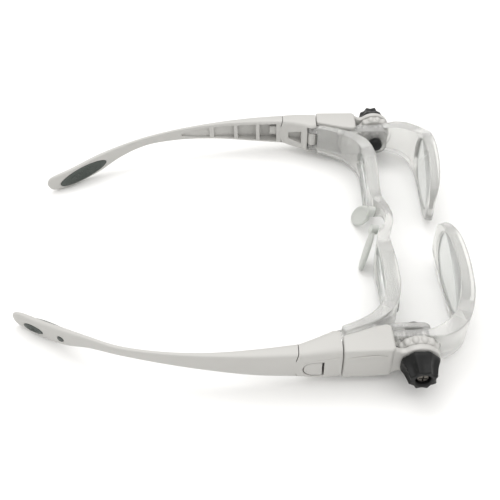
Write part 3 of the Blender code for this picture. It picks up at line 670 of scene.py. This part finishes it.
for label, side in SIDES:
    plan = ([(SEAM_FRONT, 65.4), (-23.7, 63.9), (-19.6, 62.4), (-16.4, 61.3)]
            + arc(-11.6, 62.4, 2.0, 250, 350, 10) + arc(-11.4, 70.9, 2.0, 0, 90, 10)
            + [(SEAM_FRONT, 73.3)])
    cover = rounded(mesh_object("white_side_cover_" + label, upright(plan, COVER_LOW, COVER_HIGH),
                                side), COVER_EDGE, 4)
    dip = ((-13.0, 7.9), (-11.8, 7.7), (-10.6, 7.3), (-9.6, 6.8), (-8.6, 6.3), (-7.8, 5.8),
           (-7.2, 5.6), (-6.3, 5.6))
    lobe_plan = ([(x, AXIS_Z - z) for x, z in dip] + arc(0, AXIS_Z, LOBE_R, -132, 132, 56)
                 + [(x, AXIS_Z + z) for x, z in dip[::-1]])
    lobe = rounded(mesh_object("lobe", sideways(lobe_plan, LOBE_IN, LOBE_OUT), side), 0.5, 3)
    rib = mesh_object("rib", ridge([(-27.6, 73.2, 15.6), (-22.0, 73.25, 16.6), (-16.0, 73.25, 17.0),
                                    (-12.2, 72.9, 16.2)], 0.42), side)
    combined(cover, [lobe, rib], "UNION")
    hollow = ((-31.0, 55.0), (12.0, 55.0), (12.0, LOBE_IN), (-26.4, LOBE_IN), (-26.4, 67.2),
              (-31.0, 67.2))
    tools = [mesh_object("hollow", upright(hollow, HOLLOW_LOW, HOLLOW_HIGH), side),
             mesh_object("bore", turned(((LOBE_IN - 1, bore_r), (LOBE_OUT + 2, bore_r)), 48), side)]
    combined(cover, tools, "DIFFERENCE")
    finish(cover, "side_cover_" + label, 30)

# %% [markdown]
# ## Hinge blocks, release buttons and temple arms
# The arms are limbs: rounded rectangles that change along a curve and grow rounder towards the
# tip. A superellipse gives every section with one number for its corners. Sharp details, such as
# the pockets moulded into the inner face, the seat of the D-shaped button and the hinge knuckle,
# are cut or joined with Booleans.

# %% Limbs
SEAM_REAR, SEAM_BULGE = -45.0, 1.5
BLOCK = ((SEAM_REAR, 74.2, 67.4, 5.1, 18.9), (-38.5, 74.2, 64.9, 3.8, 19.6),
         (-33.5, 73.9, 62.6, 3.4, 19.9), (HINGE_X - 0.2, 73.7, 61.6, 3.3, 19.95),
         (SEAM_FRONT - 0.4, 73.5, 62.3, 3.4, 19.9))
TEMPLE = ((SEAM_REAR - 0.35, 74.2, 67.4, 5.2, 18.9), (-60.0, 73.9, 68.7, 5.9, 18.1),
          (-80.0, 72.0, 69.2, 7.8, 16.7), (-100.0, 68.7, 66.7, 9.3, 15.1),
          (-114.0, 65.1, 62.9, 9.3, 13.9), (-126.0, 60.0, 57.4, 6.9, 13.1),
          (-137.0, 55.1, 51.4, 2.4, 11.7), (-149.0, 48.4, 44.6, 0.15, 9.4),
          (-157.0, 43.6, 40.7, 0.5, 8.4), (-160.3, 41.8, 39.9, 1.6, 7.6))
TEMPLE_CORNERS = (0.42, 0.78)


def limb(stations, count, bulge_end, corners=(0.42, 0.42), spokes=64, round_tip=False):
    """Solid along X with superellipse sections; one end bulges to the rear."""
    at, length = curve_through(stations)
    rings, distances = [], [length * i / count for i in range(count + 1)]
    for distance in distances:
        x, outer, inner, bottom, top = at(distance)
        corner = corners[0] + (corners[1] - corners[0]) * distance / length
        shrink = 1.0
        if round_tip and distance > length - 3.0:
            shrink = math.sqrt(max(0.0, 1.0 - ((distance - length + 3.0) / 3.0) ** 2)) * 0.9 + 0.1
        ring = []
        for k in range(spokes):
            angle = 2 * math.pi * (k + 0.5) / spokes
            c, s = math.cos(angle), math.sin(angle)
            u, v = math.copysign(abs(c) ** corner, c), math.copysign(abs(s) ** corner, s)
            shift = SEAM_BULGE * (1 - v * v) if bulge_end and distance < 1e-6 else 0.0
            ring.append((x - shift, (outer + inner) / 2 + u * shrink * (outer - inner) / 2,
                         (top + bottom) / 2 + v * shrink * (top - bottom) / 2))
        rings.append(ring)
    ends = []
    for distance, shift in ((0.0, SEAM_BULGE if bulge_end else 0.0), (length, 0.0)):
        x, outer, inner, bottom, top = at(distance)
        ends.append((x - shift, (outer + inner) / 2, (top + bottom) / 2))
    return closed_rings(rings, ends)


def hinge_round(radius, low, high, side, spokes=32):
    """Cylinder about the leaning hinge axis."""
    shift = side * math.tan(math.radians(3.0))
    plan = arc(HINGE_X, HINGE_Y, radius, 0, 360 - 360 / spokes, spokes - 1)
    return closed_rings([[(x, y + (z - AXIS_Z) * shift, z) for x, y in plan] for z in (low, high)])


# %% Hinge blocks and buttons
BUTTON_X, BUTTON_Z, BUTTON_R, BUTTON_FRONT = -39.6, 10.75, 3.75, -36.4
BUTTON_IN, BUTTON_OUT, SEAT_FLOOR = 71.0, 74.2, 69.7
KNUCKLE_LOW, KNUCKLE_HIGH = 8.5, 15.2
PIN_R, PIN_BORE_R = 0.8, 0.95


def button_outline(grow, ahead):
    radius, front = BUTTON_R + grow, BUTTON_FRONT + ahead
    return ([(front, BUTTON_Z - radius), (front, BUTTON_Z + radius)]
            + arc(BUTTON_X, BUTTON_Z, radius, 90, 270, 32))


for label, side in SIDES:
    block = mesh_object("white_hinge_block_" + label, limb(BLOCK, 24, True), side)
    rib = mesh_object("rib", ridge([(-44.2, 73.9, 11.6), (-42.8, 74.0, 14.6), (-39.0, 74.05, 15.6),
                                    (-34.0, 73.8, 16.2), (-29.6, 73.5, 16.8)], 0.38), side)
    combined(block, [rib], "UNION")
    room = mesh_object("room", box(HINGE_X - 2.6, -26.0, 60.0, HINGE_Y + 2.5, 5.0, 18.4), side)
    combined(block, [room], "DIFFERENCE")
    eye = (arc(HINGE_X, HINGE_Y, KNUCKLE_R, -170, 40, 28)
           + [(HINGE_X + 0.4, HINGE_Y + 3.4), (HINGE_X - 3.4, HINGE_Y + 3.4),
              (HINGE_X - 3.4, HINGE_Y + 0.7)])
    tongue = limb(((SEAM_REAR + 0.6, 71.35, 69.25, 9.35, 14.95), (-51.6, 71.4, 69.9, 9.8, 14.6)),
                  2, False)
    combined(block, [mesh_object("eye", upright(eye, KNUCKLE_LOW, KNUCKLE_HIGH), side),
                     mesh_object("tongue", tongue, side)], "UNION")
    recess = sideways(((-42.4, 9.6), (-36.1, 8.1), (-36.1, 15.5), (-42.4, 13.4)), 60.0, 68.2)
    tools = [mesh_object("pin_bore", hinge_round(PIN_BORE_R, 7.2, 16.8, side), side),
             mesh_object("recess", recess, side),
             mesh_object("seat", sideways(button_outline(0.35, 0.8), SEAT_FLOOR, 76.0), side)]
    combined(block, tools, "DIFFERENCE")
    finish(block, "hinge_block_" + label, 32)
    button = mesh_object("white_release_button_" + label,
                         sideways(button_outline(0.0, 0.0), BUTTON_IN, BUTTON_OUT), side)
    finish(rounded(button, 0.45, 4), "release_button_" + label, 30)
    pin = mesh_object("steel_hinge_pin_" + label, hinge_round(PIN_R, 5.6, 17.8, side), side)
    finish(rounded(pin, 0.2, 3), "hinge_pin_" + label, 30)

# %% Temple arms
POCKETS = ((-96.0, -82.0), (-79.8, -69.6), (-67.8, -58.6), (-56.8, -48.4))
POCKET_WALL = 1.5
PADS = (("grip_pad_inner_", -143.5, (12.4, 3.3), True), ("grip_pad_outer_", -150.6, (5.0, 1.9), False),
        ("cord_plug_", -138.0, (1.4, 1.4), False))
temple_at, temple_length = curve_through(TEMPLE)


def temple_surface(x, inner):
    """Point, direction along the arm and outward normal of the temple's face at x."""
    here = temple_at(distance_where(temple_at, temple_length, 0, x))
    ahead = temple_at(distance_where(temple_at, temple_length, 0, x + 4.0))
    column = 2 if inner else 1
    along = np.array((ahead[0] - here[0], ahead[column] - here[column],
                      ((ahead[3] + ahead[4]) - (here[3] + here[4])) / 2))
    normal = np.array((along[1], -along[0], 0.0)) * (1 if inner else -1)
    return (here[0], here[column], (here[3] + here[4]) / 2), along, normal


def pocket_solid(start, end):
    """Room cut in the inner face, leaving a thin outer wall, floor and roof."""
    rings = []
    for x in (start, (start + end) / 2, end):
        _, outer, inner, bottom, top = temple_at(distance_where(temple_at, temple_length, 0, x))
        wall = min(POCKET_WALL, (outer - inner) * 0.62)
        flare = 0.35 if x == POCKETS[0][0] else 1.0
        middle, half = (bottom + top) / 2, ((top - bottom) / 2 - 1.5) * flare
        rings.append([(x, inner - 3.0, middle - half), (x, outer - wall, middle - half),
                      (x, outer - wall, middle + half), (x, inner - 3.0, middle + half)])
    return closed_rings(rings)


for label, side in SIDES:
    temple = mesh_object("white_temple_arm_" + label,
                         limb(TEMPLE, 150, True, TEMPLE_CORNERS, 56, round_tip=True), side)
    tools = [mesh_object("pocket", pocket_solid(*span), side) for span in POCKETS]
    tools.append(mesh_object("socket", box(-52.6, -40.0, 69.0, 71.9, 8.9, 15.5), side))
    for name, x, half, inner in PADS:
        centre, along, normal = temple_surface(x, inner)
        seat = (half[0] + 0.2, half[1] + 0.2)
        tools.append(mesh_object("seat", oval_plug(centre, along, normal, seat,
                                                   ((-0.9, 0.0), (4.0, 0.0))), side))
    combined(temple, tools, "DIFFERENCE")
    finish(temple, "temple_arm_" + label, 32)

# %% [markdown]
# ## Rubber grips with ripples
# The inner grip has raised ovals, one inside the other, like ripples on water. They repeat by a
# rule, so Geometry Nodes make them: points carry circles that grow with their index, the circles
# are stretched to the pad's oval, and a thin profile is swept along each. The pad is made flat at
# the origin, and its mesh is then placed on the arm.

# %% Node tree: ripples
def new_tree(name, sockets):
    """Geometry node tree with named inputs, its input sockets and its output node."""
    made = bpy.data.node_groups.new(name, "GeometryNodeTree")
    for label, kind in sockets:
        made.interface.new_socket(name=label, in_out="INPUT", socket_type=kind)
    made.interface.new_socket(name="Geometry", in_out="OUTPUT", socket_type="NodeSocketGeometry")
    return made, add_node(made, "NodeGroupInput").outputs, add_node(made, "NodeGroupOutput")


def math_node(tree, operation, first, second=0.0):
    return add_node(tree, "ShaderNodeMath", {0: first, 1: second}, operation=operation).outputs[0]


def close_tree(tree, given, result, parts):
    """Join the parts, make their instances real and give the whole its material."""
    joined = add_node(tree, "GeometryNodeJoinGeometry")
    for part in parts:
        tree.links.new(part, joined.inputs[0])
    real = add_node(tree, "GeometryNodeRealizeInstances", {"Geometry": joined.outputs[0]})
    painted = add_node(tree, "GeometryNodeSetMaterial", {"Geometry": real.outputs[0],
                                                         "Material": given["Paint"]})
    tree.links.new(painted.outputs[0], result.inputs[0])
    print(tree.name + ":", len(tree.nodes), "nodes")


def run_tree(item, tree, values):
    """Run a tree on the item with its inputs set by identifier, and keep the plain mesh."""
    modifier = item.modifiers.new(tree.name, "NODES")
    modifier.node_group = tree
    for socket in tree.interface.items_tree:
        if socket.in_out == "INPUT" and socket.name in values:
            modifier[socket.identifier] = values[socket.name]
    return settle(item)


ripples, given, result = new_tree("ripples", (
    ("Geometry", "NodeSocketGeometry"), ("Rings", "NodeSocketInt"), ("Half Length", "NodeSocketFloat"),
    ("Half Width", "NodeSocketFloat"), ("Height", "NodeSocketFloat"), ("Rib Radius", "NodeSocketFloat"),
    ("Paint", "NodeSocketMaterial")))
points = add_node(ripples, "GeometryNodeMeshLine", {"Count": given["Rings"],
                                                    "Offset": (0, 0, 0)})
index = add_node(ripples, "GeometryNodeInputIndex").outputs[0]
share = math_node(ripples, "DIVIDE", math_node(ripples, "ADD", index, 0.55),
                  math_node(ripples, "ADD", given["Rings"], 0.35))
ring = add_node(ripples, "GeometryNodeCurvePrimitiveCircle", {"Resolution": 72, "Radius": 1.0})
copies = add_node(ripples, "GeometryNodeInstanceOnPoints",
                  {"Points": points.outputs[0], "Instance": ring.outputs[0], "Scale": share})
loose = add_node(ripples, "GeometryNodeRealizeInstances", {"Geometry": copies.outputs[0]})
stretch = add_node(ripples, "ShaderNodeCombineXYZ", {"X": given["Half Length"],
                                                     "Y": given["Half Width"], "Z": 0.0})
where = add_node(ripples, "GeometryNodeInputPosition").outputs[0]
spot = add_node(ripples, "ShaderNodeVectorMath", {0: where, 1: stretch.outputs[0]}, operation="MULTIPLY")
lift = add_node(ripples, "ShaderNodeCombineXYZ", {"Z": given["Height"]})
oval = add_node(ripples, "GeometryNodeSetPosition", {"Geometry": loose.outputs[0],
                                                     "Position": spot.outputs[0],
                                                     "Offset": lift.outputs[0]})
section = add_node(ripples, "GeometryNodeCurvePrimitiveCircle", {"Resolution": 8,
                                                                 "Radius": given["Rib Radius"]})
ribs = add_node(ripples, "GeometryNodeCurveToMesh", {"Curve": oval.outputs[0],
                                                     "Profile Curve": section.outputs[0]})
close_tree(ripples, given, result, [given["Geometry"], ribs.outputs[0]])

# %% Place the pads and plugs
def flat_plug(name, half, profile, spokes=72):
    """Plug made flat at the origin, in metres."""
    vertices, faces = oval_plug((0, 0, 0), (1, 0, 0), (0, 0, 1), half, profile, spokes)
    mesh = bpy.data.meshes.new(name)
    mesh.from_pydata([tuple(c * MM for c in v) for v in vertices], [], faces)
    item = bpy.data.objects.new(name, mesh)
    bpy.context.collection.objects.link(item)
    return item


RIPPLES = {"grip_pad_inner_": 4, "grip_pad_outer_": 2, "cord_plug_": 0}
for label, side in SIDES:
    for name, x, half, inner in PADS:
        pad = flat_plug("rubber_" + name + label, half, round_profile(-0.7, 0.3, 0.22, 4))
        if RIPPLES[name]:
            run_tree(pad, ripples, {"Rings": RIPPLES[name], "Half Length": (half[0] - 0.5) * MM,
                                    "Half Width": (half[1] - 0.35) * MM, "Height": 0.24 * MM,
                                    "Rib Radius": 0.27 * MM, "Paint": PAINT["grey_rubber"]})
        centre, along, normal = temple_surface(x, inner)
        u, v, w = plug_axes(along, normal)
        place = Matrix([[u[i], v[i], w[i], (centre[i] + (AXIS_X if i == 0 else 0)) * MM]
                        for i in range(3)] + [[0, 0, 0, 1]])
        mirror = Matrix.Diagonal((1, side, 1, 1))
        pad.data.transform(mirror @ place)
        face_outward(pad.data)
        finish(pad, name + label, 40)

# %% [markdown]
# ## Knobs and index wheels
# The knob is a turned cone with eight hollows for the fingertips, and the white wheel under the
# cover has fourteen finger beads. Both follow a rule of angle. A turned body goes in, and one tree
# pulls it towards its axis where a cosine of the angle is high. A second tree stands beads on a
# circle and joins them to the wheel.

# %% Node tree: flutes
flutes, given, result = new_tree("flutes", (
    ("Geometry", "NodeSocketGeometry"), ("Flutes", "NodeSocketInt"), ("Depth", "NodeSocketFloat"),
    ("Axis X", "NodeSocketFloat"), ("Axis Z", "NodeSocketFloat"), ("From Radius", "NodeSocketFloat"),
    ("Full Radius", "NodeSocketFloat"), ("Paint", "NodeSocketMaterial")))
where = add_node(flutes, "GeometryNodeInputPosition").outputs[0]
parts = add_node(flutes, "ShaderNodeSeparateXYZ", {0: where})
dx = math_node(flutes, "SUBTRACT", parts.outputs[0], given["Axis X"])
dz = math_node(flutes, "SUBTRACT", parts.outputs[2], given["Axis Z"])
angle = math_node(flutes, "ARCTAN2", dx, dz)
half = math_node(flutes, "MULTIPLY", given["Flutes"], 0.5)
wave = math_node(flutes, "COSINE", math_node(flutes, "MULTIPLY", angle, half))
hollow = math_node(flutes, "POWER", math_node(flutes, "ABSOLUTE", wave), 1.2)
radius = math_node(flutes, "SQRT", math_node(flutes, "ADD", math_node(flutes, "MULTIPLY", dx, dx),
                                             math_node(flutes, "MULTIPLY", dz, dz)))
mask = add_node(flutes, "ShaderNodeMapRange", {"Value": radius, "From Min": given["From Radius"],
                                               "From Max": given["Full Radius"]})
# The hollows are full at the narrow end and a third as deep at the skirt.
FADE_START, FADE_END, SKIRT_SHARE = 6.4, 7.6, 0.35
fade = add_node(flutes, "ShaderNodeMapRange", {"Value": radius, "From Min": FADE_START * MM,
                                               "From Max": FADE_END * MM,
                                               "To Min": 1.0, "To Max": SKIRT_SHARE})
near = math_node(flutes, "MULTIPLY", mask.outputs[0], fade.outputs[0])
shape = math_node(flutes, "MULTIPLY", hollow, near)
pull = math_node(flutes, "MULTIPLY", shape, given["Depth"])
inward = math_node(flutes, "MULTIPLY", pull, -1.0)
offset = add_node(flutes, "ShaderNodeCombineXYZ", {"X": math_node(flutes, "MULTIPLY", dx, inward),
                                                   "Z": math_node(flutes, "MULTIPLY", dz, inward)})
moved = add_node(flutes, "GeometryNodeSetPosition", {"Geometry": given["Geometry"],
                                                     "Offset": offset.outputs[0]})
close_tree(flutes, given, result, [moved.outputs[0]])

# %% Node tree: beads
beads, given, result = new_tree("beads", (
    ("Geometry", "NodeSocketGeometry"), ("Beads", "NodeSocketInt"), ("Ring Radius", "NodeSocketFloat"),
    ("Bead Size", "NodeSocketVector"), ("Centre", "NodeSocketVector"), ("Paint", "NodeSocketMaterial")))
ring = add_node(beads, "GeometryNodeMeshCircle", {"Vertices": given["Beads"],
                                                  "Radius": given["Ring Radius"]})
stood = add_node(beads, "GeometryNodeTransform", {"Geometry": ring.outputs[0],
                                                  "Translation": given["Centre"],
                                                  "Rotation": (math.radians(90), 0, 0)})
ball = add_node(beads, "GeometryNodeMeshUVSphere", {"Segments": 32, "Rings": 20, "Radius": 1.0})
copies = add_node(beads, "GeometryNodeInstanceOnPoints",
                  {"Points": stood.outputs[0], "Instance": ball.outputs[0],
                   "Scale": given["Bead Size"]})
close_tree(beads, given, result, [given["Geometry"], copies.outputs[0]])

# %% Knobs, wheels and what turns with them
KNOB_IN, KNOB_OUT = 72.7, 80.9
KNOB_BASE_R, KNOB_TIP_R = 7.6, 5.6


def knob_profile():
    """Cone with a rounded skirt and rim, and a counterbore for the screw."""
    skirt = [(KNOB_IN + 0.5 - 0.5 * math.cos(a), KNOB_BASE_R - 0.5 + 0.5 * math.sin(a))
             for a in np.linspace(0, math.pi / 2, 6)]
    flare = ((KNOB_IN + 1.2, KNOB_IN + 1.9, KNOB_IN + 2.8, KNOB_IN + 4.8, KNOB_OUT - 0.9),
             (KNOB_BASE_R, 7.35, 6.9, 6.2, KNOB_TIP_R))
    cone = [(y, np.interp(y, *flare)) for y in np.linspace(KNOB_IN + 1.0, KNOB_OUT - 0.9, 16)]
    rim = [(KNOB_OUT - 0.8 + 0.8 * math.sin(a), KNOB_TIP_R - 0.8 + 0.8 * math.cos(a))
           for a in np.linspace(0.15, math.pi / 2, 6)]
    face = [(KNOB_OUT, 4.2), (KNOB_OUT, 3.4), (KNOB_OUT - 0.3, 3.1), (KNOB_OUT - 0.5, 2.9),
            (KNOB_OUT - 2.6, 2.8), (KNOB_OUT - 2.6, SHAFT_R + 0.1)]
    return [(KNOB_IN, SHAFT_R + 0.1), (KNOB_IN, 4.0)] + skirt + cone + rim + face


for label, side in SIDES:
    knob = mesh_object("black_focus_knob_" + label, turned(knob_profile(), 192, True), side)
    run_tree(knob, flutes, {"Flutes": 8, "Depth": 0.17, "Axis X": AXIS_X * MM, "Axis Z": AXIS_Z * MM,
                            "From Radius": 3.6 * MM, "Full Radius": 4.6 * MM,
                            "Paint": PAINT["black_plastic"]})
    finish(knob, "focus_knob_" + label, 40)
    wheel_profile = ((WHEEL_IN, SHAFT_R + 0.1), (WHEEL_IN, 7.1), (WHEEL_IN + 0.4, 7.5),
                     (WHEEL_OUT - 0.4, 7.5), (WHEEL_OUT, 7.1), (WHEEL_OUT, SHAFT_R + 0.1))
    wheel = mesh_object("white_index_wheel_" + label, turned(wheel_profile, 96, True), side)
    middle = side * (WHEEL_IN + WHEEL_OUT) / 2
    run_tree(wheel, beads, {"Beads": 14, "Ring Radius": 6.95 * MM,
                            "Bead Size": (1.5 * MM, 1.93 * MM, 1.5 * MM),
                            "Centre": (AXIS_X * MM, middle * MM, AXIS_Z * MM),
                            "Paint": PAINT["white_plastic"]})
    finish(wheel, "index_wheel_" + label, 40)

# %% Shafts, caps and screws
TEETH, ADDENDUM, DEDENDUM = 8, 0.65, 0.95


def pinion_ring(y, root, tip):
    """One ring of the pinion: root, tip, tip, root for each tooth."""
    root_half, tip_half = 0.696 / (PITCH_R - DEDENDUM), 0.2 / (PITCH_R + ADDENDUM)
    points = []
    for tooth in range(TEETH):
        middle = 2 * math.pi * tooth / TEETH
        for turn, r in ((-root_half, root), (-tip_half, tip), (tip_half, tip), (root_half, root)):
            points.append((r * math.sin(middle + turn), y, AXIS_Z + r * math.cos(middle + turn)))
    return points


for label, side in SIDES:
    root, tip, end = PITCH_R - DEDENDUM, PITCH_R + ADDENDUM, KNOB_OUT - 3.0
    low, high = ARM_MID - ARM_THICK / 2 + 0.1, ARM_MID + ARM_THICK / 2 - 0.1
    steps = ((57.2, 0.9, 0.9), (58.9, 0.9, 0.9), (58.9, SHAFT_R, SHAFT_R), (low, SHAFT_R, SHAFT_R),
             (low, root, tip), (high, root, tip), (high, SHAFT_R, SHAFT_R), (end, SHAFT_R, SHAFT_R),
             (end, 1.0, 1.0), (end - 2.2, 1.0, 1.0))
    shaft = mesh_object("steel_pinion_shaft_" + label,
                        closed_rings([pinion_ring(*step) for step in steps]), side)
    finish(shaft, "pinion_shaft_" + label, 30)
    cap = mesh_object("black_shaft_cap_" + label,
                      turned(((55.4, 2.4), (55.5, 2.7), (55.9, 3.1), (56.2, 3.2), (58.3, 3.2),
                              (58.6, 3.0), (58.6, 1.2), (56.9, 1.2)), 64), side)
    finish(cap, "shaft_cap_" + label, 35)
    screw = mesh_object("steel_knob_screw_" + label,
                        turned(((KNOB_OUT - 4.9, 0.8), (KNOB_OUT - 2.3, 0.8), (KNOB_OUT - 2.3, 2.5),
                                (KNOB_OUT - 1.6, 2.5), (KNOB_OUT - 1.3, 2.3), (KNOB_OUT - 1.1, 1.9),
                                (KNOB_OUT - 1.0, 1.2)), 64), side)
    cross = [mesh_object("slot", box(-a, a, KNOB_OUT - 1.8, KNOB_OUT + 1, AXIS_Z - b, AXIS_Z + b), side)
             for a, b in ((1.5, 0.28), (0.28, 1.5))]
    combined(screw, cross, "DIFFERENCE")
    finish(screw, "knob_screw_" + label, 35)
